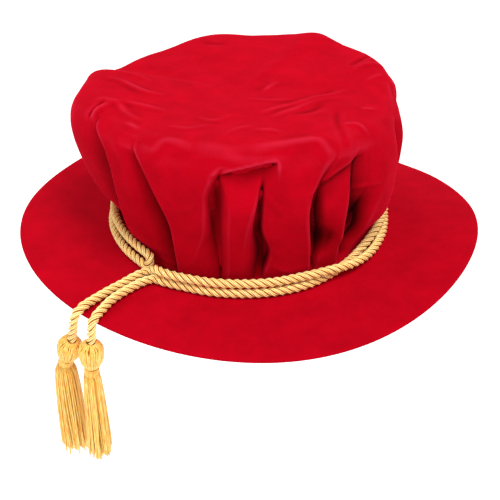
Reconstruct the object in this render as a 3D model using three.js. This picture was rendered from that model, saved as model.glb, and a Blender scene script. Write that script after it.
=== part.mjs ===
// A Tudor bonnet, the soft round cap of doctoral academic dress, as it is held on a head:
// a stiff velvet brim, a gathered velvet crown, and a doubled gold cord with two tassels.
// Millimetres and degrees. +Z is up, -Y is the front, and azimuths turn from +X towards +Y.
// The origin is the centre of the head opening, level with the brim's underside.

import * as THREE from 'three';

const radians = (degrees) => THREE.MathUtils.degToRad(degrees);
const mix = THREE.MathUtils.lerp;
const smooth = THREE.MathUtils.smoothstep;
const wrapped = THREE.MathUtils.euclideanModulo;

// Brim
const BRIM_RADIUS = 170;
const BRIM_THICKNESS = 2.5;
const OPENING_HALF_WIDTH = 91.5;
const OPENING_HALF_LENGTH = 98.5;
const OPENING_SHARE_OF_WAVE = 0.4; // how much of the edge's rise and fall is left at the opening
const EDGE_WAVES = [
  { crests: 3, height: 7.0, firstCrest: -25.4 },
  { crests: 4, height: 2.2, firstCrest: -7.2 },
  { crests: 2, height: 1.3, firstCrest: -61.8 },
];
const DROOP = { at: 47, halfWidth: 15, depth: 8.5 }; // the brim hangs lower at the back right

// Crown
const WALL = 2.0;
const SEAT_GAP = 0.3; // between pieces that touch
const FOOT_RISE = 15; // the straight foot that the cord hides
const CROWN_SHIFT = -7; // the top has slumped this far towards -X
const TOP_HEIGHT = 101;
const BRIM_FACETS = 90;

// The crown's two fullest lines, each a radius from the slumped axis and a height, how far the
// cloth stands out beside the cord and over it, and its share of the way out to the waist at the
// lower third
const SECTIONS = [
  { at: 0, waist: 114, waistHeight: 73, rim: 107, rimHeight: 101, beside: 0.4, low: 4, fall: 0.45 },
  { at: 14, waist: 116, waistHeight: 75, rim: 112, rimHeight: 103, beside: 0.3, low: 3, fall: 0.46 },
  { at: 30, waist: 119, waistHeight: 75, rim: 114, rimHeight: 104.5, beside: 0.3, low: 3, fall: 0.66 },
  { at: 45, waist: 119, waistHeight: 76, rim: 112, rimHeight: 105.1, beside: 0.3, low: 3, fall: 0.66 },
  { at: 57, waist: 118, waistHeight: 76, rim: 112, rimHeight: 108.9, beside: 0.4, low: 4, fall: 0.66 },
  { at: 68, waist: 117, waistHeight: 75, rim: 108, rimHeight: 105, beside: 0.4, low: 4, fall: 0.66 },
  { at: 85, waist: 115, waistHeight: 74, rim: 101, rimHeight: 103.7, beside: 0.3, low: 3, fall: 0.66 },
  { at: 104, waist: 115, waistHeight: 74, rim: 102, rimHeight: 104, beside: 0.3, low: 3, fall: 0.66 },
  { at: 125, waist: 113, waistHeight: 72, rim: 101, rimHeight: 98.9, beside: 0.4, low: 4, fall: 0.66 },
  { at: 145, waist: 114, waistHeight: 72, rim: 102, rimHeight: 97.8, beside: 0.3, low: 3, fall: 0.66 },
  { at: 154, waist: 118, waistHeight: 74, rim: 107, rimHeight: 96.5, beside: 0.3, low: 3, fall: 0.66 },
  { at: 163, waist: 121, waistHeight: 76, rim: 112, rimHeight: 101.3, beside: 0.3, low: 3, fall: 0.66 },
  { at: 187, waist: 120, waistHeight: 78, rim: 107, rimHeight: 103, beside: 0.4, low: 4, fall: 0.66 },
  { at: 212, waist: 113, waistHeight: 74, rim: 102, rimHeight: 102, beside: 1, low: 6, fall: 0.64 },
  { at: 228, waist: 110, waistHeight: 70, rim: 101, rimHeight: 103, beside: 1.6, low: 5.8, fall: 0.6 },
  { at: 240, waist: 109, waistHeight: 68, rim: 101, rimHeight: 104, beside: 6, low: 6.8, fall: 0.56 },
  { at: 255, waist: 108, waistHeight: 66, rim: 100, rimHeight: 105, beside: 3.5, low: 4.2, fall: 0.48 },
  { at: 270, waist: 108, waistHeight: 64, rim: 99, rimHeight: 105, beside: 0.6, low: 1.2, fall: 0.42 },
  { at: 300, waist: 110, waistHeight: 64, rim: 101, rimHeight: 104, beside: 0.1, low: 0.8, fall: 0.44 },
  { at: 330, waist: 115, waistHeight: 66, rim: 104, rimHeight: 102, beside: 0.4, low: 4, fall: 0.62 },
];

// How much lower than its inner part the rounded rim of the top lies
const RIM_DROP = { back: 1.2, front: 5 };

// Places along a meridian, from 0 at the foot to 1 at the middle of the top
const PLACE = { foot: 0, cord: 0.08, cordTop: 0.12, overCord: 0.17, lowSide: 0.24, waist: 0.44,
  shoulder: 0.54, rim: 0.62, inTop: 0.69, midTop: 0.83, middle: 1 };

// The gathers, from the left round to the left again. Each line runs up the crown through LEVELS,
// which are places: its azimuth at each, and how far in it lies from the fullest surface.
const LEVELS = [0.04, 0.14, 0.24, 0.34, 0.42, 0.48, 0.53, 0.58, 0.64];
const FRONT_LINES = [
  { azimuths: [190, 190, 191, 192, 192, 192, 191, 190, 190],
    depths: [3, 1, 0, 0, 0, 0, 0, 0, 0] },
  { azimuths: [211, 214, 215.5, 216.5, 217, 216, 212.5, 206, 204],
    depths: [5, 8, 10, 12, 13, 12, 9, 3, 0] },
  { azimuths: [216, 217.5, 218.5, 219.8, 220, 219, 216, 208.5, 206],
    depths: [0, 0, 0, 0, 0, 0, 0, 0, 0] },
  { azimuths: [225, 226, 227, 227, 227, 226, 223.5, 219, 217],
    depths: [1, 1, 1, 0.8, 0.8, 0.8, 0.5, 0, 0] },
  { azimuths: [241, 240.5, 240, 239.5, 237.5, 235, 232, 229.5, 228.5],
    depths: [6, 9, 12, 14, 14, 12, 9, 2, 0] },
  { azimuths: [244, 243.5, 243, 242.7, 240.5, 238, 235, 231.5, 230],
    depths: [0, 0, 0, 0, 0, 0, 0, 0, 0] },
  { azimuths: [247.5, 249, 252, 255.5, 257.2, 258, 260.5, 262.7, 263],
    depths: [1, 1.5, 1.5, 1, 0.5, 0, 0, 0, 0] },
  { azimuths: [259.2, 259.2, 258.8, 258.7, 259.3, 260, 262.5, 264.5, 265],
    depths: [5, 7, 10, 14, 16, 14, 6, 0, 0] },
  { azimuths: [262.2, 262.5, 263.3, 264.3, 265.5, 266.5, 267, 267, 267],
    depths: [1.5, 1, 0.5, 0, 0, 1, 1, 0, 0] },
  { azimuths: [267, 267.5, 268.5, 270.5, 273, 275.7, 277.3, 278.5, 279.5],
    depths: [2.5, 2.5, 1.5, 0.3, 0.3, 1, 2, 1, 0] },
  { azimuths: [274.3, 275.2, 276.9, 275.2, 275.9, 277.1, 278.7, 280.5, 281.5],
    depths: [9, 14, 19, 21, 19, 12, 4, 1, 0] },
  { azimuths: [275.6, 276.6, 278.5, 276.2, 276.9, 278.3, 280.5, 283, 283.5],
    depths: [5, 4.5, 4.5, 5.5, 5.5, 5, 3, 0.5, 0] },
  { azimuths: [287, 287.5, 288, 288, 288, 289, 290, 291, 291],
    depths: [1, 1, 1, 1, 1, 1, 0.5, 0, 0] },
  { azimuths: [294, 294, 293.2, 292.3, 292.3, 294.5, 298, 302, 303],
    depths: [1, 0, 0, 0, 0, 0, 0, 0, 0] },
  { azimuths: [297, 297, 297.5, 297, 296.8, 298, 301.5, 306, 307.5],
    depths: [8, 12, 17, 17, 14, 10, 5, 1, 0] },
  { azimuths: [298.8, 300.3, 304.5, 301.3, 300.5, 302, 305.5, 309, 310],
    depths: [3, 4.5, 8, 4.5, 3.5, 4, 4.5, 0.7, 0] },
  { azimuths: [309.3, 308.8, 308.2, 307.4, 308.2, 309.5, 311, 312, 312.5],
    depths: [2, 1.5, 1, 0.5, 0.5, 1, 3, 0.5, 0] },
  { azimuths: [311.3, 311.2, 311.4, 311.4, 312, 313, 314.5, 317, 317],
    depths: [9, 13, 17, 17, 12, 9, 7, 1, 0] },
  { azimuths: [313.5, 315, 316.8, 317.3, 318.5, 320, 321, 321.5, 322],
    depths: [6, 10, 14, 12, 7, 5, 4, 0.5, 0] },
  { azimuths: [317, 319, 319.5, 322.5, 326, 327, 327, 327, 327],
    depths: [2, 1, 0, 0, 0, 0, 0, 0, 0] },
  { azimuths: [333, 333, 333, 334, 335, 336, 336, 336, 336],
    depths: [1, 0, 0, 0, 0, 0, 0, 0, 0] },
];

// The gathers at the sides and the back: the azimuth of each floor at its foot, knee and head,
// its depth at the knee, and the azimuth of the crest that follows it
const BACK_GATHERS = [
  { foot: 344, knee: 345, head: 347, depth: 10, crest: 351 },
  { foot: 362, knee: 364, head: 368, depth: 14, crest: 372 },
  { foot: 382, knee: 379, head: 376, depth: 11, crest: 389 },
  { foot: 399, knee: 401, head: 406, depth: 14, crest: 407 },
  { foot: 419, knee: 416, head: 412, depth: 12, crest: 427 },
  { foot: 437, knee: 440, head: 444, depth: 13, crest: 446 },
  { foot: 456, knee: 454, head: 450, depth: 11, crest: 464 },
  { foot: 475, knee: 478, head: 482, depth: 14, crest: 484 },
  { foot: 494, knee: 492, head: 488, depth: 12, crest: 502 },
  { foot: 513, knee: 516, head: 521, depth: 13, crest: 522 },
  { foot: 533, knee: 531, head: 527, depth: 11, crest: 541 },
];
const GATHER_SHARES = [0.55, 0.75, 0.9, 1, 1, 0.85, 0.55, 0.15, 0]; // of the depth, at LEVELS
const KNEE = 0.38;
const CREST_ROUNDING = 1.3;
const LINE_FACETS = 2; // between one line and the next

// Rolls of cloth that overhang the gathers at the front, which press in what lies under them.
// Above 1, skew moves the deepest part towards the roll's end.
const SHELVES = [
  { from: 260, to: 284, fromPlace: 0.55, toPlace: 0.602, depth: 9.5, skew: 1.5 },
  { from: 293, to: 320, fromPlace: 0.485, toPlace: 0.57, depth: 6.5, skew: 1 },
];
const SHELF_LIP = 0.016;
const SHELF_DROP = 0.15;
const SHELF_SWELL = 0.6;

// Cord
const CORD_RADIUS = 3.2;
const CORD_SIDES = 10;
const TURN_STEPS = 32;
const BIGHT_STEPS = 6;

// The two turns round the crown: the middle of the pair, half the distance between their
// centres, and the turn of the first one about the second, 90 where it lies on top
const PAIR = [
  { at: 246, radius: 112.9, apart: 3.4, lie: 90 },
  { at: 254, radius: 111.4, apart: 3.4, lie: 96 },
  { at: 264, radius: 109.1, apart: 3.4, lie: 102 },
  { at: 277, radius: 107, apart: 3.4, lie: 104 },
  { at: 290, radius: 105.6, apart: 3.4, lie: 98 },
  { at: 301, radius: 105.4, apart: 3.4, lie: 66 },
  { at: 311, radius: 105, apart: 3.4, lie: 28 },
  { at: 321, radius: 104, apart: 3.4, lie: -8 },
  { at: 332, radius: 103.4, apart: 3.4, lie: -50 },
  { at: 344, radius: 101.9, apart: 3.4, lie: -80 },
  { at: 360, radius: 100.3, apart: 3.4, lie: -84 },
  { at: 390, radius: 101.6, apart: 3.4, lie: -86 },
  { at: 420, radius: 105.6, apart: 3.4, lie: -88 },
  { at: 450, radius: 107.2, apart: 3.4, lie: -88 },
  { at: 480, radius: 105.6, apart: 3.4, lie: -88 },
  { at: 510, radius: 102, apart: 3.4, lie: -88 },
  { at: 540, radius: 100.6, apart: 3.4, lie: -84 },
  { at: 560, radius: 102.4, apart: 3.7, lie: -72 },
  { at: 575, radius: 104, apart: 3.9, lie: -62 },
  { at: 589, radius: 106, apart: 3.8, lie: -58 },
];

// Where the two ends of the cord dip under the bight and bend towards the edge of the brim
const ENDS = {
  left: [
    [-71.9, -92.7, 7.8],
    [-70.6, -91.7, 7.9],
    [-67.6, -90.5, 8.5],
    [-64.3, -91.4, 9.8],
    [-61.0, -95.0, 12.8],
    [-57.4, -98.7, 13.4],
  ],
  right: [
    [-66.9, -99.3, 7.2],
    [-65.8, -98.5, 7.2],
    [-63.3, -97.5, 7.1],
    [-59.6, -98.2, 6.8],
    [-55.7, -100.3, 6.7],
  ],
};

// The free tails, from beyond that bend, over the brim and down to the tassels
const TAILS = {
  left: [
    [-72.2, -92.9, 7.8],
    [-76.4, -96.6, 7.7],
    [-83.2, -104.4, 7.8],
    [-89.4, -111.0, 8.0],
    [-95.6, -118.2, 8.2],
    [-101.2, -125.2, 8.4],
    [-105.4, -131.0, 8.6],
    [-109.3, -134.9, 6.0],
    [-111.4, -135.1, 0.8],
    [-112.6, -133.6, -5.6],
    [-113.9, -132.0, -12.0],
    [-115.1, -130.6, -18.8],
  ],
  right: [
    [-67.2, -99.5, 7.2],
    [-71.6, -102.7, 7.4],
    [-78.0, -109.4, 7.6],
    [-84.2, -116.8, 7.8],
    [-89.4, -124.8, 7.9],
    [-93.0, -133.2, 7.9],
    [-95.5, -139.3, 8.0],
    [-97.8, -143.2, 5.5],
    [-98.7, -143.9, 0.6],
    [-99.4, -142.7, -5.0],
    [-100.0, -142.0, -9.0],
    [-100.3, -141.7, -11.5],
  ],
};

// Tassels
const HEAD_LENGTH = 20.8;
const HEAD_RADIUS = 8.4;
const HEAD_TOP_RADIUS = 3.6;
const NECK_LENGTH = 7.5;
const NECK_RADIUS = 5.1;
const SKIRT_TOP_RADIUS = 5.6;
const SKIRT_PLACES = [0, 0.06, 0.2, 0.5, 1];
const TAIL_STEPS = 26;

// Turned outlines, from the top down
const HEAD_ROWS = [
  { down: 0, radius: HEAD_TOP_RADIUS },
  { down: 0.12 * HEAD_LENGTH, radius: 0.8 * HEAD_RADIUS },
  { down: 0.3 * HEAD_LENGTH, radius: 0.98 * HEAD_RADIUS },
  { down: 0.48 * HEAD_LENGTH, radius: HEAD_RADIUS },
  { down: 0.68 * HEAD_LENGTH, radius: 0.93 * HEAD_RADIUS },
  { down: 0.87 * HEAD_LENGTH, radius: 0.76 * HEAD_RADIUS },
  { down: HEAD_LENGTH, radius: NECK_RADIUS },
];
const NECK_ROWS = [
  { down: 0, radius: NECK_RADIUS },
  { down: NECK_LENGTH, radius: NECK_RADIUS },
];
const skirtRows = ({ length, foot, flare }) => SKIRT_PLACES.map((place) => (
  { down: place * length, radius: mix(SKIRT_TOP_RADIUS, foot, place ** flare) }));
const ROUND_SIDES = 24;

// How far each head is tilted and towards which azimuth, how far its skirt leans towards +X, and
// the skirt's length, the radius of its foot and how it flares: below 1 near its top
const TASSELS = {
  left: { tilt: 23, towards: 138, lean: 1.2, length: 77, foot: 11, flare: 0.34 },
  right: { tilt: 6, towards: 135, lean: 0, length: 73, foot: 9, flare: 0.55 },
};

const velvet = () => new THREE.MeshStandardMaterial({ color: '#c00a20', roughness: 0.9, metalness: 0 });
const goldCord = () => new THREE.MeshStandardMaterial({ color: '#dcb268', roughness: 0.45, metalness: 0 });
const goldFloss = () => new THREE.MeshStandardMaterial({ color: '#e8b04a', roughness: 0.5, metalness: 0 });

// One step of a Hermite curve between two values whose neighbours give the slopes
function hermite(before, a, b, after, share) {
  const slopeA = ((b.value - before.value) / (b.at - before.at)) * (b.at - a.at);
  const slopeB = ((after.value - a.value) / (after.at - a.at)) * (b.at - a.at);
  const s2 = share * share;
  const s3 = s2 * share;
  return (2 * s3 - 3 * s2 + 1) * a.value + (s3 - 2 * s2 + share) * slopeA
    + (3 * s2 - 2 * s3) * b.value + (s3 - s2) * slopeB;
}

// A column of a table that goes round and closes on itself
function aroundValue(rows, column, azimuth) {
  const count = rows.length;
  const point = (i) => {
    const turns = Math.floor(i / count);
    const row = rows[i - turns * count];
    return { at: row.at + 360 * turns, value: row[column] };
  };
  const place = THREE.MathUtils.euclideanModulo(azimuth - rows[0].at, 360) + rows[0].at;
  let i = 0;
  while (point(i + 1).at <= place) i += 1;
  const share = (place - point(i).at) / (point(i + 1).at - point(i).at);
  return hermite(point(i - 1), point(i), point(i + 1), point(i + 2), share);
}

// A column of a table with two ends
function alongValue(points, at) {
  const last = points.length - 1;
  let i = 0;
  while (i < last - 1 && points[i + 1].at <= at) i += 1;
  const a = points[i];
  const b = points[i + 1];
  const before = i > 0 ? points[i - 1] : { at: 2 * a.at - b.at, value: 2 * a.value - b.value };
  const after = i + 2 <= last ? points[i + 2] : { at: 2 * b.at - a.at, value: 2 * b.value - a.value };
  return hermite(before, a, b, after, (at - a.at) / (b.at - a.at));
}

const ellipseRadius = (halfX, halfY, azimuth) =>
  1 / Math.hypot(Math.cos(radians(azimuth)) / halfX, Math.sin(radians(azimuth)) / halfY);

// Height of the brim's underside
function brimHeight(radius, azimuth) {
  const edge = EDGE_WAVES.reduce(
    (sum, wave) => sum + wave.height * Math.cos(radians(wave.crests * (azimuth - wave.firstCrest))), 0);
  const opening = ellipseRadius(OPENING_HALF_WIDTH, OPENING_HALF_LENGTH, azimuth);
  const share = THREE.MathUtils.clamp((radius - opening) / (BRIM_RADIUS - opening), 0, 1);
  const aside = wrapped(azimuth - DROOP.at + 180, 360) - 180;
  const droop = DROOP.depth * Math.exp(-((aside / DROOP.halfWidth) ** 2));
  return edge * mix(OPENING_SHARE_OF_WAVE, 1, share) - droop * share ** 2;
}
const brimTop = (radius, azimuth) => brimHeight(radius, azimuth) + BRIM_THICKNESS;

// A lathe turned about +Z whose every vertex is then placed by shape(profile index, column), with
// its columns counted from +X towards +Y
function shapedLathe(profileLength, columns, shape) {
  const profile = Array.from(
    { length: profileLength + 1 }, (_, j) => new THREE.Vector2(1, j % profileLength));
  const geometry = new THREE.LatheGeometry(profile, columns);
  const position = geometry.attributes.position;
  for (let i = 0; i <= columns; i += 1) {
    for (let j = 0; j <= profileLength; j += 1) {
      const p = shape(j % profileLength, (columns - i) % columns);
      position.setXYZ(i * (profileLength + 1) + j, p.x, p.y, p.z);
    }
  }
  return geometry;
}

// The brim's section, from the opening to the edge: share of the width, and share of the thickness
const BRIM_SECTION = [
  { across: 0, up: 0 },
  { across: 0, up: 1 },
  { across: 0.5, up: 1 },
  { across: 0.99, up: 1 },
  { across: 1, up: 0.7 },
  { across: 1, up: 0.3 },
  { across: 0.99, up: 0 },
  { across: 0.5, up: 0 },
];

function brim() {
  const geometry = shapedLathe(BRIM_SECTION.length, BRIM_FACETS, (j, column) => {
    const azimuth = (360 * column) / BRIM_FACETS;
    const { across, up } = BRIM_SECTION[j];
    const opening = ellipseRadius(OPENING_HALF_WIDTH, OPENING_HALF_LENGTH, azimuth);
    const radius = mix(opening, BRIM_RADIUS, across);
    return polar(radius, azimuth, brimHeight(radius, azimuth) + up * BRIM_THICKNESS);
  });
  return named('brim', geometry, velvet());
}

function polar(radius, azimuth, height) {
  return new THREE.Vector3(radius * Math.cos(radians(azimuth)), radius * Math.sin(radians(azimuth)), height);
}

// The crown before it is gathered: points of one meridian as { at: place, radius, height }
function meridian(azimuth) {
  const value = (column) => aroundValue(SECTIONS, column, azimuth);
  const foot = ellipseRadius(OPENING_HALF_WIDTH + WALL, OPENING_HALF_LENGTH + WALL, azimuth);
  const seat = brimTop(foot, azimuth) + SEAT_GAP;
  const low = foot + value('low');
  const beside = foot + value('beside');
  const waist = value('waist');
  const waistHeight = value('waistHeight');
  const rim = value('rim');
  const rimHeight = value('rimHeight');
  const drop = mix(RIM_DROP.back, RIM_DROP.front, (1 - Math.sin(radians(azimuth))) / 2);
  return [
    { at: PLACE.foot, radius: foot, height: seat },
    { at: PLACE.cord, radius: beside + 0.6, height: seat + 0.4 * FOOT_RISE },
    { at: PLACE.cordTop, radius: mix(beside, low, 0.22) + 0.9, height: seat + 0.75 * FOOT_RISE },
    { at: PLACE.overCord, radius: low + 1.2, height: seat + 1.15 * FOOT_RISE },
    { at: PLACE.lowSide, radius: mix(low, waist, value('fall')), height: mix(seat, waistHeight, 0.47) },
    { at: PLACE.waist, radius: waist, height: waistHeight },
    { at: PLACE.shoulder, radius: mix(waist, rim, 0.55) + 3, height: mix(waistHeight, rimHeight, 0.58) },
    { at: PLACE.rim, radius: rim, height: rimHeight - drop },
    { at: PLACE.inTop, radius: 0.88 * rim, height: rimHeight + 0.2 },
    { at: PLACE.midTop, radius: 0.5 * rim, height: mix(rimHeight, TOP_HEIGHT, 0.5) + 0.3 },
    { at: PLACE.middle, radius: 0, height: TOP_HEIGHT },
  ];
}

// Every line of the gathers, front and back, in order round the crown
const LINES = [
  ...FRONT_LINES,
  ...BACK_GATHERS.flatMap(({ foot, knee, head, depth, crest }) => {
    const floor = [
      { at: LEVELS[0], value: foot },
      { at: KNEE, value: knee },
      { at: LEVELS[LEVELS.length - 1], value: head },
    ];
    return [
      {
        azimuths: LEVELS.map((level) => alongValue(floor, level)),
        depths: GATHER_SHARES.map((share) => share * depth),
      },
      { azimuths: LEVELS.map(() => crest), depths: LEVELS.map(() => 0) },
    ];
  }),
];

// A line's azimuth and depth at a place
function lineAt(index, place) {
  const line = LINES[index % LINES.length];
  const level = THREE.MathUtils.clamp(place, LEVELS[0], LEVELS[LEVELS.length - 1]);
  const value = (values) => alongValue(LEVELS.map((at, k) => ({ at, value: values[k] })), level);
  return { azimuth: value(line.azimuths) + (index < LINES.length ? 0 : 360), depth: value(line.depths) };
}

// The azimuth of a column of facets at a place, and how far in the gathers press the cloth there:
// sharp at their floors and rounded at their crests
function gathered(column, place) {
  const a = lineAt(Math.floor(column / LINE_FACETS), place);
  const b = lineAt(Math.floor(column / LINE_FACETS) + 1, place);
  const share = (column % LINE_FACETS) / LINE_FACETS;
  const rounded = b.depth > a.depth ? share ** CREST_ROUNDING : 1 - (1 - share) ** CREST_ROUNDING;
  const depth = Math.max(mix(a.depth, b.depth, rounded), 0) * smooth(place, 0, PLACE.cord);
  return { azimuth: mix(a.azimuth, b.azimuth, share), depth };
}

// How far in the cloth lies under a rolled shelf
function underShelf(shelf, azimuth, place) {
  const share = THREE.MathUtils.clamp((wrapped(azimuth, 360) - shelf.from) / (shelf.to - shelf.from), 0, 1);
  const below = mix(shelf.fromPlace, shelf.toPlace, share) - place;
  const lip = smooth(below, 0, SHELF_LIP) * (1 - smooth(below, SHELF_LIP, SHELF_DROP));
  return shelf.depth * Math.sin(Math.PI * share ** shelf.skew) ** SHELF_SWELL * lip;
}

// A point of the crown's outer face, or of its inner face when inset is the wall
function crownPoint(column, place, inset) {
  const { azimuth, depth } = gathered(column, place);
  const points = meridian(azimuth);
  const along = (key, at) => alongValue(points.map((p) => ({ at: p.at, value: p[key] })), at);
  const step = 0.004;
  const low = Math.max(place - step, 0);
  const high = Math.min(place + step, 1);
  const tangent = new THREE.Vector2(
    along('radius', high) - along('radius', low), along('height', high) - along('height', low)).normalize();
  const shelved = Math.max(...SHELVES.map((shelf) => underShelf(shelf, azimuth, place)));
  const pressed = Math.cbrt(depth ** 3 + shelved ** 3);
  const inward = place === 0 ? new THREE.Vector2(-1, 0) : new THREE.Vector2(-tangent.y, tangent.x);
  const radius = place === 1 ? 0 : along('radius', place) + inset * inward.x - pressed;
  const height = along('height', place) + (place === 1 ? -inset : inset * inward.y);
  const point = polar(radius, azimuth, height);
  point.x += CROWN_SHIFT * smooth(along('height', place), FOOT_RISE, TOP_HEIGHT);
  return point;
}

const CROWN_PLACES = [0, 0.04, 0.08, 0.13, 0.19, 0.24, 0.29, 0.34, 0.38, 0.42, 0.45, 0.48, 0.51, 0.53, 0.55,
  0.57, 0.59, 0.61, 0.64, 0.69, 0.83, 1];

function crown() {
  const rows = CROWN_PLACES.length;
  const geometry = shapedLathe(2 * rows, LINE_FACETS * LINES.length, (j, column) => {
    const outer = j < rows;
    return crownPoint(column, CROWN_PLACES[outer ? rows - 1 - j : j - rows], outer ? 0 : WALL);
  });
  return named('crown', geometry, velvet());
}

function named(name, geometry, material) {
  const mesh = new THREE.Mesh(geometry, material);
  mesh.name = name;
  return mesh;
}

// A curve through points that is sampled evenly by its own parameter, so that a short
// bend gets as many steps as its share of the points
class Route extends THREE.CatmullRomCurve3 {
  getUtoTmapping(u) {
    return u;
  }
}

function cordTube(name, curve, steps) {
  const section = new THREE.Shape(
    Array.from({ length: CORD_SIDES }, (_, i) => {
      const angle = (2 * Math.PI * i) / CORD_SIDES;
      return new THREE.Vector2(CORD_RADIUS * Math.cos(angle), CORD_RADIUS * Math.sin(angle));
    }));
  const geometry = new THREE.ExtrudeGeometry(section, { steps, extrudePath: curve, bevelEnabled: false });
  return named(name, geometry, goldCord());
}

// The centre of one of the two turns: side is 1 for the first and -1 for the second
function turnPoint(azimuth, side) {
  const column = (name) => alongValue(PAIR.map((row) => ({ at: row.at, value: row[name] })), azimuth);
  const radius = column('radius');
  const apart = column('apart');
  const lie = radians(column('lie'));
  const up = apart * (Math.abs(Math.sin(lie)) + side * Math.sin(lie));
  const rest = brimTop(radius, azimuth) + SEAT_GAP + CORD_RADIUS;
  return polar(radius + side * apart * Math.cos(lie), azimuth, rest + up);
}

// The doubled cord: the first turn, the bight that joins the two, and the second turn back
function cordRound() {
  const first = PAIR[0].at;
  const last = PAIR[PAIR.length - 1].at;
  const turn = (side) => Array.from({ length: TURN_STEPS }, (_, i) =>
    turnPoint(mix(first, last, i / (TURN_STEPS - 1)), side));
  const there = turn(1);
  const back = turn(-1).reverse();
  const from = there[TURN_STEPS - 1];
  const middle = from.clone().add(back[0]).multiplyScalar(0.5);
  const across = from.clone().sub(middle);
  const ahead = from.clone().sub(there[TURN_STEPS - 2]).setLength(across.length());
  const bight = Array.from({ length: BIGHT_STEPS - 1 }, (_, i) => {
    const angle = (Math.PI * (i + 1)) / BIGHT_STEPS;
    return middle.clone().addScaledVector(across, Math.cos(angle)).addScaledVector(ahead, Math.sin(angle));
  });
  const start = ENDS.left.map((p) => new THREE.Vector3(...p));
  const end = ENDS.right.map((p) => new THREE.Vector3(...p)).reverse();
  const points = [...start, ...there, ...bight, ...back, ...end];
  return cordTube('cord_round_crown', new Route(points), points.length - 1);
}

function tail(side) {
  const points = TAILS[side].map((p) => new THREE.Vector3(...p));
  return cordTube(`tail_${side}`, new THREE.CatmullRomCurve3(points), TAIL_STEPS);
}

// A solid of revolution hanging down from its own origin, from { down, radius } rows
function hanging(name, rows, material) {
  const profile = [
    new THREE.Vector2(0, -rows[rows.length - 1].down),
    ...rows.map((row) => new THREE.Vector2(row.radius, -row.down)).reverse(),
    new THREE.Vector2(0, -rows[0].down),
  ];
  const geometry = new THREE.LatheGeometry(profile, ROUND_SIDES).rotateX(Math.PI / 2);
  return named(name, geometry, material);
}

// Turns a hanging group so that what is below its origin swings towards an azimuth
const swing = (group, degrees, towards) =>
  group.quaternion.setFromAxisAngle(polar(1, towards - 90, 0), radians(degrees));

// Head, neck binding and skirt of one tassel, hung from the end of its tail
function tassel(side) {
  const { tilt, towards, lean } = TASSELS[side];
  const end = TAILS[side][TAILS[side].length - 1];
  const previous = TAILS[side][TAILS[side].length - 2];
  const below = new THREE.Vector3(...end).sub(new THREE.Vector3(...previous)).normalize();
  const head = hanging(`tassel_head_${side}`, HEAD_ROWS, goldFloss());
  const neck = hanging(`tassel_neck_${side}`, NECK_ROWS, goldFloss());
  const skirt = hanging(`tassel_skirt_${side}`, skirtRows(TASSELS[side]), goldFloss());
  neck.position.z = -HEAD_LENGTH - SEAT_GAP;
  const leaning = new THREE.Group();
  swing(leaning, tilt, towards);
  const down = new THREE.Vector3(0, 0, -1).applyQuaternion(leaning.quaternion);
  const clear = SEAT_GAP + CORD_RADIUS * Math.sin(below.angleTo(down));
  leaning.position.set(...end).addScaledVector(below, clear);
  leaning.add(head, neck);
  const hung = new THREE.Group();
  const neckEnd = new THREE.Vector3(0, 0, -HEAD_LENGTH - NECK_LENGTH - SEAT_GAP);
  hung.position.copy(leaning.position).add(neckEnd.applyQuaternion(leaning.quaternion));
  hung.position.z -= SEAT_GAP + SKIRT_TOP_RADIUS * Math.sin(radians(tilt));
  swing(hung, lean, 0);
  hung.add(skirt);
  return [leaning, hung];
}

const bonnet = new THREE.Group();
bonnet.add(brim(), crown(), cordRound(), tail('left'), tail('right'), ...tassel('left'), ...tassel('right'));

export default bonnet;
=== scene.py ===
"""A Tudor bonnet: scarlet velvet brim and gathered crown, doubled gold cord, two tassels.

Metres throughout. +Z is up, -Y is the front, and azimuths turn from +X towards +Y. The origin is
the centre of the head opening, level with the brim's underside.
"""

import math
import random
from collections import namedtuple

import bmesh
import bpy
import numpy as np
from mathutils import Matrix, Vector, noise


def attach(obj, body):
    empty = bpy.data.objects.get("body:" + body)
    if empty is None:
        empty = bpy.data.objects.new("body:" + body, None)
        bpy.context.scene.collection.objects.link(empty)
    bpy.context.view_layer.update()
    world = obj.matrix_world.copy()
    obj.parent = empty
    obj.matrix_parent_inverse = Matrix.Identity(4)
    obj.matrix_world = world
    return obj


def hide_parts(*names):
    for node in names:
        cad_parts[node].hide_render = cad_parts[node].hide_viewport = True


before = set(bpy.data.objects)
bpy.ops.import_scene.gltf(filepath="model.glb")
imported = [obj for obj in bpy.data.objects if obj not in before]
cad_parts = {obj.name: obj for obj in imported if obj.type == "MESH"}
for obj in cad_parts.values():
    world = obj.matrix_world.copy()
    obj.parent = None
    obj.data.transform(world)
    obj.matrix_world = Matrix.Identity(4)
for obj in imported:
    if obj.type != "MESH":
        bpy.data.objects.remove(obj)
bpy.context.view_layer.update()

MM = 0.001

# ---------------------------------------------------------------- camera

CAMERA_PLACE = (0.0, -0.5973, 0.3663)
CAMERA_AIM = (0.00115, 0.0, -0.03445)
CAMERA_ROLL = 0.62  # degrees
LENS, SENSOR_WIDTH = 66.2, 36  # millimetres


def make_camera():
    data = bpy.data.cameras.new("camera")
    data.sensor_width = SENSOR_WIDTH
    data.lens = LENS
    camera = bpy.data.objects.new("camera", data)
    bpy.context.scene.collection.objects.link(camera)
    look = Vector(CAMERA_AIM) - Vector(CAMERA_PLACE)
    turn = look.to_track_quat("-Z", "Y").to_matrix().to_4x4()
    roll = Matrix.Rotation(math.radians(CAMERA_ROLL), 4, "Z")
    camera.matrix_world = Matrix.Translation(CAMERA_PLACE) @ turn @ roll
    bpy.context.scene.camera = camera


make_camera()

# ---------------------------------------------------------------- sizes

BRIM_RADIUS = 0.170
BRIM_THICKNESS = 0.0025
OPENING_HALF_WIDTH = 0.0915
OPENING_HALF_LENGTH = 0.0985
OPENING_SHARE_OF_WAVE = 0.4

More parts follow.
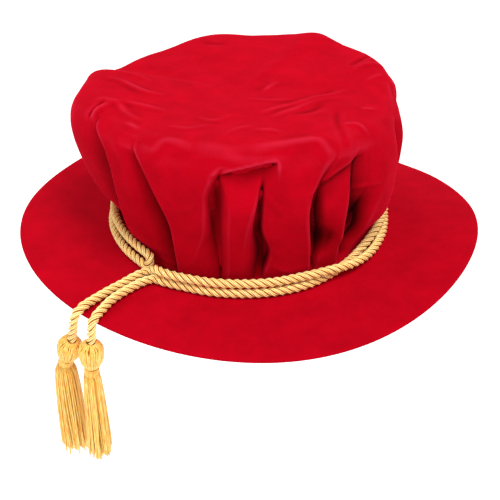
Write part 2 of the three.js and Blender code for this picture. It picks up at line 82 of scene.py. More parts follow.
# The edge of the brim rises and falls in waves: how many crests each has round the brim, its height
# and the azimuth of one crest
EDGE_WAVES = [(3, 0.0070, -25.4), (4, 0.0022, -7.2), (2, 0.0013, -61.8)]

# At the back right the brim hangs lower: the middle of the droop and its half width in degrees,
# and its depth
DROOP_AT, DROOP_WIDTH, DROOP = 47, 15, 0.0085

WALL = 0.002
SEAT_GAP = 0.0003  # between pieces that rest on each other
FOOT_RISE = 0.015  # from the crown's foot to where it is clear of the cord
CROWN_SHIFT = -0.007  # of the slumped top, along X
TOP_HEIGHT = 0.101

# Sections of the crown at its fullest: the azimuth, the radius and height of the waist and of the
# rim, how far the cloth stands out beside the cord and just above it, and how much of the way out
# to the waist it has gone at the lower third
Section = namedtuple("Section", "at waist waist_height rim rim_height beside low fall")
SECTIONS = [Section(*row) for row in [
    (0, 0.114, 0.073, 0.107, 0.101, 0.0004, 0.004, 0.45),
    (14, 0.116, 0.075, 0.112, 0.103, 0.0003, 0.003, 0.46),
    (30, 0.119, 0.075, 0.114, 0.1045, 0.0003, 0.003, 0.66),
    (45, 0.119, 0.076, 0.112, 0.1051, 0.0003, 0.003, 0.66),
    (57, 0.118, 0.076, 0.112, 0.1089, 0.0004, 0.004, 0.66),
    (68, 0.117, 0.075, 0.108, 0.1050, 0.0004, 0.004, 0.66),
    (85, 0.115, 0.074, 0.101, 0.1037, 0.0003, 0.003, 0.66),
    (104, 0.115, 0.074, 0.102, 0.1040, 0.0003, 0.003, 0.66),
    (125, 0.113, 0.072, 0.101, 0.0989, 0.0004, 0.004, 0.66),
    (145, 0.114, 0.072, 0.102, 0.0978, 0.0003, 0.003, 0.66),
    (154, 0.118, 0.074, 0.107, 0.0965, 0.0003, 0.003, 0.66),
    (163, 0.121, 0.076, 0.112, 0.1013, 0.0003, 0.003, 0.66),
    (187, 0.120, 0.078, 0.107, 0.1030, 0.0004, 0.004, 0.66),
    (212, 0.113, 0.074, 0.102, 0.102, 0.001, 0.006, 0.64),
    (228, 0.110, 0.070, 0.101, 0.103, 0.0016, 0.0058, 0.60),
    (240, 0.109, 0.068, 0.101, 0.104, 0.006, 0.0068, 0.56),
    (255, 0.108, 0.066, 0.100, 0.105, 0.0035, 0.0042, 0.48),
    (270, 0.108, 0.064, 0.099, 0.105, 0.0006, 0.0012, 0.42),
    (300, 0.110, 0.064, 0.101, 0.104, 0.0001, 0.0008, 0.44),
    (330, 0.115, 0.066, 0.104, 0.102, 0.0004, 0.004, 0.62),
]]

# Places along a meridian, from 0 at the foot to 1 at the middle of the top
CORD_TOP = 0.08
PLACES = [0, CORD_TOP, 0.12, 0.17, 0.24, 0.44, 0.54, 0.62, 0.69, 0.83, 1]

# The three places after the foot: how much of the way out the cloth is from beside to low, a
# little ease, and the height as a share of FOOT_RISE
PAST_CORD = [(0, 0.0006, 0.4), (0.22, 0.0009, 0.75), (1, 0.0012, 1.15)]
SHOULDER = 0.003  # how far the cloth bellies out between waist and rim

# The gathers, from the left round to the left again. Each line runs up the crown through LEVELS,
# which are places: its azimuth at each, and how many millimetres in from the fullest surface.
LEVELS = [0.04, 0.14, 0.24, 0.34, 0.42, 0.48, 0.53, 0.58, 0.64]
Crease = namedtuple("Crease", "azimuths depths")
FRONT_CREASES = [Crease(*row) for row in [
    ([190, 190, 191, 192, 192, 192, 191, 190, 190], [3, 1, 0, 0, 0, 0, 0, 0, 0]),
    ([211, 214, 215.5, 216.5, 217, 216, 212.5, 206, 204], [5, 8, 10, 12, 13, 12, 9, 3, 0]),
    ([216, 217.5, 218.5, 219.8, 220, 219, 216, 208.5, 206], [0, 0, 0, 0, 0, 0, 0, 0, 0]),
    ([225, 226, 227, 227, 227, 226, 223.5, 219, 217], [1, 1, 1, 0.8, 0.8, 0.8, 0.5, 0, 0]),
    ([241, 240.5, 240, 239.5, 237.5, 235, 232, 229.5, 228.5], [6, 9, 12, 14, 14, 12, 9, 2, 0]),
    ([244, 243.5, 243, 242.7, 240.5, 238, 235, 231.5, 230], [0, 0, 0, 0, 0, 0, 0, 0, 0]),
    ([247.5, 249, 252, 255.5, 257.2, 258, 260.5, 262.7, 263], [1, 1.5, 1.5, 1, 0.5, 0, 0, 0, 0]),
    ([259.2, 259.2, 258.8, 258.7, 259.3, 260, 262.5, 264.5, 265], [5, 7, 10, 14, 16, 14, 6, 0, 0]),
    ([262.2, 262.5, 263.3, 264.3, 265.5, 266.5, 267, 267, 267], [1.5, 1, 0.5, 0, 0, 1, 1, 0, 0]),
    ([267, 267.5, 268.5, 270.5, 273, 275.7, 277.3, 278.5, 279.5], [2.5, 2.5, 1.5, 0.3, 0.3, 1, 2, 1, 0]),
    ([274.3, 275.2, 276.9, 275.2, 275.9, 277.1, 278.7, 280.5, 281.5], [9, 14, 19, 21, 19, 12, 4, 1, 0]),
    ([275.6, 276.6, 278.5, 276.2, 276.9, 278.3, 280.5, 283, 283.5], [5, 4.5, 4.5, 5.5, 5.5, 5, 3, 0.5, 0]),
    ([287, 287.5, 288, 288, 288, 289, 290, 291, 291], [1, 1, 1, 1, 1, 1, 0.5, 0, 0]),
    ([294, 294, 293.2, 292.3, 292.3, 294.5, 298, 302, 303], [1, 0, 0, 0, 0, 0, 0, 0, 0]),
    ([297, 297, 297.5, 297, 296.8, 298, 301.5, 306, 307.5], [8, 12, 17, 17, 14, 10, 5, 1, 0]),
    ([298.8, 300.3, 304.5, 301.3, 300.5, 302, 305.5, 309, 310], [3, 4.5, 8, 4.5, 3.5, 4, 4.5, 0.7, 0]),
    ([309.3, 308.8, 308.2, 307.4, 308.2, 309.5, 311, 312, 312.5], [2, 1.5, 1, 0.5, 0.5, 1, 3, 0.5, 0]),
    ([311.3, 311.2, 311.4, 311.4, 312, 313, 314.5, 317, 317], [9, 13, 17, 17, 12, 9, 7, 1, 0]),
    ([313.5, 315, 316.8, 317.3, 318.5, 320, 321, 321.5, 322], [6, 10, 14, 12, 7, 5, 4, 0.5, 0]),
    ([317, 319, 319.5, 322.5, 326, 327, 327, 327, 327], [2, 1, 0, 0, 0, 0, 0, 0, 0]),
    ([333, 333, 333, 334, 335, 336, 336, 336, 336], [1, 0, 0, 0, 0, 0, 0, 0, 0]),
]]

# The gathers at the sides and the back: the floor of each at its foot, knee and head, its depth
# at the knee, and the azimuth of the crest that follows it
Gather = namedtuple("Gather", "foot knee head depth crest")
BACK_GATHERS = [Gather(*row) for row in [
    (344, 345, 347, 10, 351), (362, 364, 368, 14, 372), (382, 379, 376, 11, 389),
    (399, 401, 406, 14, 407), (419, 416, 412, 12, 427), (437, 440, 444, 13, 446),
    (456, 454, 450, 11, 464), (475, 478, 482, 14, 484), (494, 492, 488, 12, 502),
    (513, 516, 521, 13, 522), (533, 531, 527, 11, 541),
]]
GATHER_SHARES = [0.55, 0.75, 0.9, 1, 1, 0.85, 0.55, 0.15, 0]  # of that depth, at LEVELS
KNEE = 0.38  # a place
CREST_ROUNDING = 1.3  # 1 for crests as sharp as the floors, more for rounder ones

# Rolls of cloth that hang over the gathers at the front: the cloth under a roll's lip is pressed
# in, and comes out again further down. Above 1, skew moves the deepest part towards the roll's end.
Shelf = namedtuple("Shelf", "start end start_place end_place depth skew")
SHELVES = [
    Shelf(260, 284, 0.550, 0.602, 0.0095, 1.5),
    Shelf(293, 320, 0.485, 0.570, 0.0065, 1.0),
]
SHELF_LIP, SHELF_DROP = 0.016, 0.15  # how far below a lip its hollow is deepest, and ends
SHELF_SWELL = 0.6  # below 1 a hollow keeps its depth for longer towards the roll's ends

# How much lower than its inner part the rounded rim of the top lies, at the back and at the front
RIM_DROP_BACK, RIM_DROP_FRONT = 0.0012, 0.0050

# Small ridges, or furrows where the height is negative: points, then the width and the height in
# millimetres. The top's points are millimetres across and back from the middle, the side's are
# azimuths and places.
TOP_WRINKLES = [
    ([(-93, 27), (-79, 18), (-70, 11)], 3, 1.2),
    ([(-101, 14), (-90, 7), (-80, -3), (-71, -10), (-58, -14)], 3, 1.8),
    ([(-91, -25), (-81, -28), (-67, -34), (-56, -38)], 3, 1.2),
    ([(-106, -20), (-97, -23), (-89, -29), (-82, -42), (-71, -54)], 3, 1.1),
    ([(-79, -57), (-72, -65)], 2.5, 1.0),
    ([(-110, -42), (-103, -35), (-94, -30)], 3.5, 2.5),
    ([(-68, -83), (-61, -87), (-51, -84), (-37, -91)], 4, 1.5),
    ([(-30, -94), (-15, -98), (-3, -102), (13, -100), (22, -95)], 5, 1.5),
    ([(5, -94), (19, -89), (31, -84), (42, -81), (51, -87), (61, -93)], 4, 1.8),
    ([(62, -56), (70, -56), (76, -60)], 2.5, 1.2),
    ([(75, -32), (84, -30)], 2.5, 1.2),
    ([(68, 1), (59, -6), (47, -12), (34, -22), (22, -30), (8, -40)], 3, 1.2),
    ([(62, -13), (48, -18), (36, -27), (25, -38), (15, -49)], 3, 1.1),
    ([(10, -1), (19, 10)], 2.5, 0.9),
    ([(-1, -16), (14, -19), (27, -17)], 3, 0.8),
    ([(3, -69), (14, -70), (23, -76)], 3, 1.0),
    ([(74, 31), (85, 40), (96, 44)], 3, 1.6),
    ([(83, 15), (95, 26)], 2.5, 1.1),
    ([(-52, -65), (-38, -69), (-26, -63)], 3, 0.8),
    ([(-35, -50), (-23, -55), (-12, -46)], 3, 0.8),
    ([(-17, -81), (-7, -68), (3, -62)], 3, 0.8),
    ([(-112, -42), (-107, -33), (-99, -25)], 2.5, -2.0),
    ([(73, 38), (82, 50), (89, 58)], 2.5, -1.8),
    ([(31, -42), (40, -36), (48, -28)], 3, -1.1),
    ([(58, -35), (57, -58), (61, -78)], 3, -1.0),
    ([(46, -8), (57, -3)], 3, -0.9),
    ([(-35, 81), (-22, 77)], 3, -1.0),
    ([(-28, -92), (-17, -95), (-8, -96), (1, -95), (8, -93), (16, -90)], 6, 1.6),
    ([(103, 14), (104, 0), (104, -18), (103, -30)], 3, -2.5),
]
SIDE_WRINKLES = [
    ([(244, 0.48), (246, 0.42), (248.5, 0.415), (253, 0.44), (256, 0.48), (261, 0.54)], 2.2, 0.6),
    ([(280, 0.48), (284, 0.43)], 2.0, 0.8),
    ([(279, 0.26), (282, 0.22)], 2.2, 0.6),
    ([(280, 0.17), (286, 0.12)], 2.4, 0.7),
    ([(314, 0.45), (320, 0.445), (325, 0.44)], 2.0, 1.0),
    ([(281, 0.575), (281.5, 0.51), (283, 0.43), (284, 0.36), (285, 0.30)], 7.0, -2.0),
    ([(259.5, 0.40), (255.2, 0.305), (250.8, 0.21), (248.5, 0.15)], 1.8, 0.7),
]
SIDE_SCALE = (1.9, 167)  # millimetres to a degree round the crown, and to the whole of a meridian
WRINKLE_STEP = 1.5  # millimetres
TAPER = 0.5  # below 1 a wrinkle keeps its height for longer before it runs out at its ends

SLOPE_REACH = 0.004  # how far to each side of a place the slope of the meridian is read
SIDE_END, TOP_START = 0.56, 0.62  # the side's wrinkles run out and the top's begin between these
POLE = 0.9999  # past this place a point is the middle of the top

# Gentle unevenness of soft cloth: how far across each kind of swell is, and how high
SWELLS = [(0.030, 0.0009), (0.011, 0.00022)]

CORD_RADIUS = 0.0032
CORD_STRANDS = 3
CORD_PITCH = 0.0160  # one full turn of a strand
STRAND_FULLNESS = 1.15  # 1 where strands only touch, more where they are pressed together
STRAND_SIDES = 20
YARNS = 3  # that show on a strand
YARN_DEPTH = 0.00040
YARN_SHADE = 0.85  # 1 where the painted shade in furrows between yarns is as dark as in grooves between strands
TURN_STEPS = 32
BIGHT_STEPS = 6
CORD_STEP = 0.00095
TAIL_STEP = 0.002  # of a path through a tail's points, which is worked out and not used

# The two turns round the crown: the radius of the middle of the pair, the turn of the first one
# about the second, 90 where it lies on top, and half the distance between their centres
Pair = namedtuple("Pair", "at radius lie apart", defaults=[0.0034])
PAIR = [Pair(*row) for row in [
    (246, 0.1129, 90), (254, 0.1114, 96), (264, 0.1091, 102), (277, 0.1070, 104),
    (290, 0.1056, 98), (301, 0.1054, 66), (311, 0.1050, 28), (321, 0.1040, -8),
    (332, 0.1034, -50), (344, 0.1019, -80), (360, 0.1003, -84), (390, 0.1016, -86),
    (420, 0.1056, -88), (450, 0.1072, -88), (480, 0.1056, -88), (510, 0.1020, -88),
    (540, 0.1006, -84),
    (560, 0.1024, -72, 0.0037), (575, 0.1040, -62, 0.0039), (589, 0.1060, -58, 0.0038),
]]

# Where the two ends of the cord dip under the bight and bend towards the edge of the brim
END_LEFT = [
    (-0.0719, -0.0927, 0.0078), (-0.0706, -0.0917, 0.0079), (-0.0676, -0.0905, 0.0085),
    (-0.0643, -0.0914, 0.0098), (-0.0610, -0.0950, 0.0128), (-0.0574, -0.0987, 0.0134),
]
END_RIGHT = [
    (-0.0669, -0.0993, 0.0072), (-0.0658, -0.0985, 0.0072), (-0.0633, -0.0975, 0.0071),
    (-0.0596, -0.0982, 0.0068), (-0.0557, -0.1003, 0.0067),
]

# The free tails, from beyond that bend, over the brim and down to the tassels
TAIL_LEFT = [
    (-0.0722, -0.0929, 0.0078), (-0.0764, -0.0966, 0.0077), (-0.0832, -0.1044, 0.0078),
    (-0.0894, -0.1110, 0.0080), (-0.0956, -0.1182, 0.0082), (-0.1012, -0.1252, 0.0084),
    (-0.1054, -0.1310, 0.0086), (-0.1093, -0.1349, 0.0060), (-0.1114, -0.1351, 0.0008),
    (-0.1126, -0.1336, -0.0056), (-0.1139, -0.1320, -0.0120), (-0.1151, -0.1306, -0.0188),
]
TAIL_RIGHT = [
    (-0.0672, -0.0995, 0.0072), (-0.0716, -0.1027, 0.0074), (-0.0780, -0.1094, 0.0076),
    (-0.0842, -0.1168, 0.0078), (-0.0894, -0.1248, 0.0079), (-0.0930, -0.1332, 0.0079),
    (-0.0955, -0.1393, 0.0080), (-0.0978, -0.1432, 0.0055), (-0.0987, -0.1439, 0.0006),
    (-0.0994, -0.1427, -0.0050), (-0.1000, -0.1420, -0.0090), (-0.1003, -0.1417, -0.0115),
]

HEAD_LENGTH = 0.0208
HEAD_RADIUS = 0.0084
HEAD_TOP_RADIUS = 0.0036
NECK_LENGTH = 0.0075
NECK_RADIUS = 0.0051
SKIRT_TOP_RADIUS = 0.0056
# How far each head is tilted and towards which azimuth, how far its skirt leans towards +X, both
# in degrees, and the skirt's length, the radius of its foot and how it flares: below 1 near its top
Tassel = namedtuple("Tassel", "side tail tilt towards lean length foot flare seed")
TASSELS = [
    Tassel("left", TAIL_LEFT, 23, 138, 1.2, 0.077, 0.0110, 0.34, 11),
    Tassel("right", TAIL_RIGHT, 6, 135, 0, 0.073, 0.0090, 0.55, 12),
]

# ---------------------------------------------------------------- tables and curves


def mix(a, b, share):
    return a + (b - a) * share


def smooth(x, low, high):
    share = np.clip((x - low) / (high - low), 0, 1)
    return share * share * (3 - 2 * share)


def turned(degrees):
    """The same angle, from -180 to 180."""
    return (degrees + 180) % 360 - 180


def along(at, values, x):
    """A smooth curve through values, which may hold one column for each x, read at x."""
    at = np.asarray(at, float)
    values = np.asarray(values, float)
    x = np.asarray(x, float)
    at = np.concatenate([[2 * at[0] - at[1]], at, [2 * at[-1] - at[-2]]])
    first, last = 2 * values[0] - values[1], 2 * values[-1] - values[-2]
    values = np.concatenate([[first], values, [last]])
    i = np.clip(np.searchsorted(at, x, side="right") - 1, 1, len(at) - 3)

    def value(k):
        return values[k] if values.ndim == 1 else values[k, np.arange(len(x))]

    step = at[i + 1] - at[i]
    share = (x - at[i]) / step
    slope_a = (value(i + 1) - value(i - 1)) / (at[i + 1] - at[i - 1]) * step
    slope_b = (value(i + 2) - value(i)) / (at[i + 2] - at[i]) * step
    s2, s3 = share**2, share**3
    return (
        (2 * s3 - 3 * s2 + 1) * value(i)
        + (s3 - 2 * s2 + share) * slope_a
        + (3 * s2 - 2 * s3) * value(i + 1)
        + (s3 - s2) * slope_b
    )


def around(rows, column, azimuth):
    """A column of a table that goes round and closes on itself."""
    at = [row.at + turn for turn in (-360, 0, 360) for row in rows]
    values = [getattr(row, column) for row in rows] * 3
    return along(at, values, np.asarray(azimuth) % 360)


def through(points, step):
    """Points a step apart on a smooth curve through these ones."""
    points = np.array(points, float)
    at = np.concatenate([[0], np.cumsum(np.linalg.norm(np.diff(points, axis=0), axis=1))])
    x = np.linspace(0, at[-1], max(2, round(at[-1] / step) + 1))
    return np.stack([along(at, column, x) for column in points.T], axis=1)


# ---------------------------------------------------------------- brim and crown surfaces


def opening_radius(azimuth, wall=0.0):
    a = np.radians(azimuth)
    half_width, half_length = OPENING_HALF_WIDTH + wall, OPENING_HALF_LENGTH + wall
    return 1 / np.hypot(np.cos(a) / half_width, np.sin(a) / half_length)


def brim_height(radius, azimuth):
    """Height of the brim's underside."""
    edge = sum(
        height * np.cos(np.radians(crests * (azimuth - crest)))
        for crests, height, crest in EDGE_WAVES
    )
    opening = opening_radius(azimuth)
    share = np.clip((radius - opening) / (BRIM_RADIUS - opening), 0, 1)
    droop = DROOP * np.exp(-((turned(azimuth - DROOP_AT) / DROOP_WIDTH) ** 2))
    return edge * mix(OPENING_SHARE_OF_WAVE, 1, share) - droop * share**2


def brim_top(radius, azimuth):
    return brim_height(radius, azimuth) + BRIM_THICKNESS


def polar(radius, azimuth, height):
    a = np.radians(azimuth)
    return np.stack([radius * np.cos(a), radius * np.sin(a), height], axis=-1)


def meridian(azimuth):
    """Radii and heights of the unfolded crown at PLACES, a column for each azimuth."""
    foot = opening_radius(azimuth, WALL)
    seat = brim_top(foot, azimuth) + SEAT_GAP
    waist, waist_height, rim, rim_height, beside, low, fall = (
        around(SECTIONS, column, azimuth) for column in Section._fields[1:]
    )
    drop = mix(RIM_DROP_BACK, RIM_DROP_FRONT, (1 - np.sin(np.radians(azimuth))) / 2)
    points = [(foot, seat)]
    for out, ease, up in PAST_CORD:
        points.append((foot + mix(beside, low, out) + ease, seat + up * FOOT_RISE))
    points += [
        (mix(foot + low, waist, fall), mix(seat, waist_height, 0.47)),  # the lower third
        (waist, waist_height),
        (mix(waist, rim, 0.55) + SHOULDER, mix(waist_height, rim_height, 0.58)),
        (rim, rim_height - drop),  # and then inwards over the top
        (0.88 * rim, rim_height + 0.0002),
        (0.5 * rim, mix(rim_height, TOP_HEIGHT, 0.5) + 0.0003),
        (0 * rim, 0 * rim + TOP_HEIGHT),
    ]
    return np.array(points).swapaxes(0, 1)


def all_creases():
    """Every crease, front and back, in order round the crown."""
    creases = list(FRONT_CREASES)
    places = [LEVELS[0], KNEE, LEVELS[-1]]
    for gather in BACK_GATHERS:
        floor = along(places, [gather.foot, gather.knee, gather.head], LEVELS)
        creases.append(Crease(floor, [gather.depth * share for share in GATHER_SHARES]))
        creases.append(Crease([gather.crest] * len(LEVELS), [0] * len(LEVELS)))
    return creases


def gather_depth(azimuth, place):
    """How far in the gathers press the cloth: sharp at their floors, rounded at their crests."""
    level = np.clip(place, LEVELS[0], LEVELS[-1])
    first = FRONT_CREASES[0].azimuths[0]
    azimuth = (azimuth - first) % 360 + first
    lines = [
        (along(LEVELS, crease.azimuths, level), along(LEVELS, crease.depths, level) * MM)
        for crease in all_creases()
    ]
    lines.append((lines[0][0] + 360, lines[0][1]))
    lines.insert(0, (lines[-2][0] - 360, lines[-2][1]))
    pressed = np.zeros(len(azimuth))
    for (start, depth_a), (end, depth_b) in zip(lines, lines[1:]):
        share = np.clip((azimuth - start) / (end - start), 0, 1)
        leaving, nearing = share**CREST_ROUNDING, 1 - (1 - share) ** CREST_ROUNDING
        share = np.where(depth_b > depth_a, leaving, nearing)
        between = (azimuth >= start) & (azimuth < end)
        pressed = np.where(between, mix(depth_a, depth_b, share), pressed)
    return np.maximum(pressed, 0) * smooth(place, 0, CORD_TOP)


def shelf_depth(azimuth, place):
    """How far in the cloth lies under the rolls that overhang it."""
    pressed = np.zeros(len(azimuth))
    for shelf in SHELVES:
        share = np.clip((azimuth % 360 - shelf.start) / (shelf.end - shelf.start), 0, 1)
        below = mix(shelf.start_place, shelf.end_place, share) - place
        lip = smooth(below, 0, SHELF_LIP) * (1 - smooth(below, SHELF_LIP, SHELF_DROP))
        swell = np.sin(math.pi * share**shelf.skew) ** SHELF_SWELL
        pressed = np.maximum(pressed, shelf.depth * swell * lip)
    return pressed


def lift(where, wrinkles, scale=(1, 1)):
    """How far out the wrinkles raise the cloth, in metres. Each runs out towards its ends."""
    raised = np.zeros(len(where))
    for points, width, height in wrinkles:
        line = through(np.array(points) * scale, WRINKLE_STEP)
        share = np.sin(math.pi * (np.arange(len(line)) + 0.5) / len(line)) ** TAPER
        away = np.hypot(where[:, :1] - line[:, 0], where[:, 1:] - line[:, 1])
        ridge = share * np.exp(-((away / width) ** 2))
        raised += height * MM * ridge.max(axis=1)
    return raised


def swells(points):
    """Gentle unevenness, the same on both faces of the cloth."""
    return sum(
        height * np.array([noise.noise(Vector(point) / across) for point in points])
        for across, height in SWELLS
    )


def crown_point(azimuth, place, inset=0.0):
    """Points of the crown's outer face, or of a face that lies an inset inside it."""
    radii, heights = meridian(azimuth)
    low = np.clip(place - SLOPE_REACH, 0, 1)
    high = np.clip(place + SLOPE_REACH, 0, 1)
    run = along(PLACES, radii, high) - along(PLACES, radii, low)
    rise = along(PLACES, heights, high) - along(PLACES, heights, low)
    length = np.maximum(np.hypot(run, rise), 1e-9)
    pressed = np.cbrt(gather_depth(azimuth, place) ** 3 + shelf_depth(azimuth, place) ** 3)
    radius = along(PLACES, radii, place)
    height = along(PLACES, heights, place)
    shift = CROWN_SHIFT * smooth(height, FOOT_RISE, TOP_HEIGHT)
    flat = polar(radius, azimuth, height)[:, :2] + np.stack([shift, 0 * shift], axis=1)
    top = smooth(place, SIDE_END, TOP_START)
    side = np.stack([azimuth % 360, place], axis=1) * SIDE_SCALE
    raised = mix(lift(side, SIDE_WRINKLES, SIDE_SCALE), lift(flat / MM, TOP_WRINKLES), top)
    above_cord = smooth(place, CORD_TOP, 3 * CORD_TOP)
    raised += swells(np.column_stack([flat, height])) * above_cord - inset
    radius = radius + raised * rise / length - pressed
    height = height - raised * run / length
    point = polar(np.where(place > POLE, 0, radius), azimuth, height)
    point[:, 0] += shift
    return point


# ---------------------------------------------------------------- making and finishing pieces

MERGE_DISTANCE = 1e-6


def make_object(name, data):
    piece = bpy.data.objects.new(name, data)
    bpy.context.scene.collection.objects.link(piece)
    return piece


def mesh_object(name, bm):
    data = bpy.data.meshes.new(name)
    bm.to_mesh(data)
    bm.free()
    data.shade_smooth()
    return make_object(name, data)


def finish_piece(piece, nodes, material):
    piece.data.materials.clear()
    piece.data.materials.append(material)
    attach(piece, "root")
    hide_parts(*nodes)


def read_vertices(bm):
    return np.array([v.co for v in bm.verts])


def place_vertices(bm, points):
    for vertex, point in zip(bm.verts, points):
        vertex.co = point


def spun(bm, profile, steps, closed=False):
    """Spins a chain of (radius, height) points right round +Z, and joins it up."""
    chain = [bm.verts.new((radius, 0, height)) for radius, height in profile]
    edges = [bm.edges.new(pair) for pair in zip(chain, chain[1:])]
    if closed:
        edges.append(bm.edges.new((chain[-1], chain[0])))
    bmesh.ops.spin(
        bm, geom=chain + edges, cent=(0, 0, 0), axis=(0, 0, 1),
        angle=2 * math.pi, steps=steps, use_merge=True,
    )
    bmesh.ops.remove_doubles(bm, verts=bm.verts, dist=MERGE_DISTANCE)
    return bm


def swept_mesh(curve):
    """The mesh that a curve object makes. The object itself is deleted."""
    bpy.context.view_layer.update()
    graph = bpy.context.evaluated_depsgraph_get()
    mesh = bpy.data.meshes.new_from_object(curve.evaluated_get(graph))
    bpy.data.objects.remove(curve)
    return mesh


# ---------------------------------------------------------------- materials


def linear(hex_colour):
    """An sRGB hex colour as linear RGBA."""
    colour = []
    for i in (1, 3, 5):
        part = int(hex_colour[i : i + 2], 16) / 255
        colour.append(part / 12.92 if part <= 0.04045 else ((part + 0.055) / 1.055) ** 2.4)
    return (*colour, 1.0)


def add_node(material, kind, settings=(), links=(), stops=()):
    """Adds a shader node: settings go to its properties or sockets, links join sockets to others,
    and stops are the places and colours of a ramp."""
    tree = material.node_tree
    node = tree.nodes.new("ShaderNode" + kind)
    for name, value in dict(settings).items():
        if isinstance(name, int) or name in node.inputs:
            node.inputs[name].default_value = value
        else:
            setattr(node, name, value)
    for name, source in dict(links).items():
        tree.links.new(source, node.inputs[name])
    for i, (place, colour) in enumerate(stops):
        if i >= len(node.color_ramp.elements):
            node.color_ramp.elements.new(place)
        node.color_ramp.elements[i].position = place
        node.color_ramp.elements[i].color = linear(colour)
    return node


def new_material(name, settings):
    """A material with a shader that has these settings, and its links for more."""
    material = bpy.data.materials.new(name)
    material.use_nodes = True
    shader = material.node_tree.nodes["Principled BSDF"]
    for socket, value in settings.items():
        shader.inputs[socket].default_value = value
    return material, shader, material.node_tree.links


BRUSHED_PATCH = 16 * MM
TUFT_SPACING = 0.9 * MM
TUFT_HEIGHT = 0.25 * MM
FILAMENT_HEIGHT = 0.35 * MM
FLOSS_STREAK = 0.8 * MM


def velvet_material():
    """Cotton velvet: a dense upright pile that takes in most light. Painted shade turns it a deep red
    in its furrows, deep in its gathers and under its rolls, and a painted highlight lightens it on
    crests. It is lighter where it is seen edge on, and it shows faint clouds where it has been
    brushed another way. Its tufts, really about 0.3 mm apart, are drawn 0.9 mm apart, as coarse as
    they need to be to show."""
    material, shader, links = new_material("scarlet cotton velvet", {
        "Roughness": 1.0, "Specular IOR Level": 0.03, "Sheen Weight": 0.48, "Sheen Roughness": 0.4,
        "Sheen Tint": linear("#ff1640"),
    })
    place = add_node(material, "TexCoord").outputs["Object"]
    # How much painted light each point gets: low for painted shade, high for a painted highlight
    crest = add_node(material, "Attribute", {"attribute_name": "crest"})
    clouds = add_node(
        material, "TexNoise",
        {"Scale": 1 / BRUSHED_PATCH, "Detail": 5.0, "Roughness": 0.6}, {"Vector": place},
    )
    pile = add_node(
        material, "TexNoise",
        {"Scale": 1 / TUFT_SPACING, "Detail": 2.0, "Roughness": 0.6}, {"Vector": place},
    )
    blend = add_node(
        material, "Mix", {"data_type": "FLOAT", "Factor": 0.25},
        {"A": clouds.outputs["Fac"], "B": pile.outputs["Fac"]},
    )
    flat = add_node(
        material, "ValToRGB", {}, {"Fac": blend.outputs["Result"]},
        [(0.3, "#9d0112"), (0.7, "#b30217")],
    )
    # Painted shade: darkens the red in furrows, deep in the gathers and under the rolls
    painted_shade = add_node(
        material, "ValToRGB", {}, {"Fac": crest.outputs["Fac"]},
        [(0.0, "#100606"), (0.1, "#685658"), (0.25, "#c0acac"), (0.48, "#ffffff")],
    )
    shaded = add_node(
        material, "Mix", {"data_type": "RGBA", "blend_type": "MULTIPLY", "Factor": 1.0},
        {6: flat.outputs["Color"], 7: painted_shade.outputs["Color"]},
    )
    # Painted highlight: lightens the red along crests
    painted_highlight = add_node(
        material, "ValToRGB", {}, {"Fac": crest.outputs["Fac"]},
        [(0.55, "#000000"), (0.72, "#2e0c17"), (1.0, "#5c1c2e")],
    )
    lit = add_node(
        material, "Mix", {"data_type": "RGBA", "blend_type": "ADD", "Factor": 1.0},
        {6: shaded.outputs[2], 7: painted_highlight.outputs["Color"]},
    )
    links.new(lit.outputs[2], shader.inputs["Base Color"])
    bump = add_node(
        material, "Bump", {"Strength": 0.35, "Distance": TUFT_HEIGHT},
        {"Height": pile.outputs["Fac"]},
    )
    links.new(bump.outputs["Normal"], shader.inputs["Normal"])
    return material


def cord_material():
    """Rayon satin cord: fine shiny filaments laid side by side. Painted shade makes it orange brown in
    the grooves between strands, and a painted highlight makes it pale straw along their crowns. The
    filaments, really finer than a hair, are drawn as coarse as they need to be to show: about thirty
    go round the cord."""
    material, shader, links = new_material("straw gold rayon cord", {
        "Roughness": 0.3, "Specular IOR Level": 0.8, "Specular Tint": linear("#ffe6b0"),
        "Sheen Weight": 0.6, "Sheen Roughness": 0.5, "Sheen Tint": linear("#ffd27c"),
    })
    groove_shade_and_highlight = add_node(material, "Attribute", {"attribute_name": "groove_shade_and_highlight"})
    around_cord = add_node(material, "UVMap", {"uv_map": "lay"})
    stretch = add_node(
        material, "Mapping", {"Scale": (30.0, 30.0, 1.0)},
        {"Vector": around_cord.outputs["UV"]},
    )
    filaments = add_node(
        material, "TexNoise", {"Scale": 1.0, "Detail": 1.0}, {"Vector": stretch.outputs["Vector"]},
    )
    shade = add_node(
        material, "Mix", {"data_type": "FLOAT", "Factor": 0.5},
        {"A": groove_shade_and_highlight.outputs["Fac"], "B": filaments.outputs["Fac"]},
    )
    # Painted shade in the grooves and between yarns, painted highlight along the crowns
    colour = add_node(
        material, "ValToRGB", {}, {"Fac": shade.outputs["Result"]},
        [(0.0, "#a8540c"), (0.14, "#ee942a"), (0.30, "#ffcc5a"), (0.46, "#fff2b0")],
    )
    links.new(colour.outputs["Color"], shader.inputs["Base Color"])
    bump = add_node(
        material, "Bump", {"Strength": 0.7, "Distance": FILAMENT_HEIGHT},
        {"Height": filaments.outputs["Fac"]},
    )
    links.new(bump.outputs["Normal"], shader.inputs["Normal"])
    return material


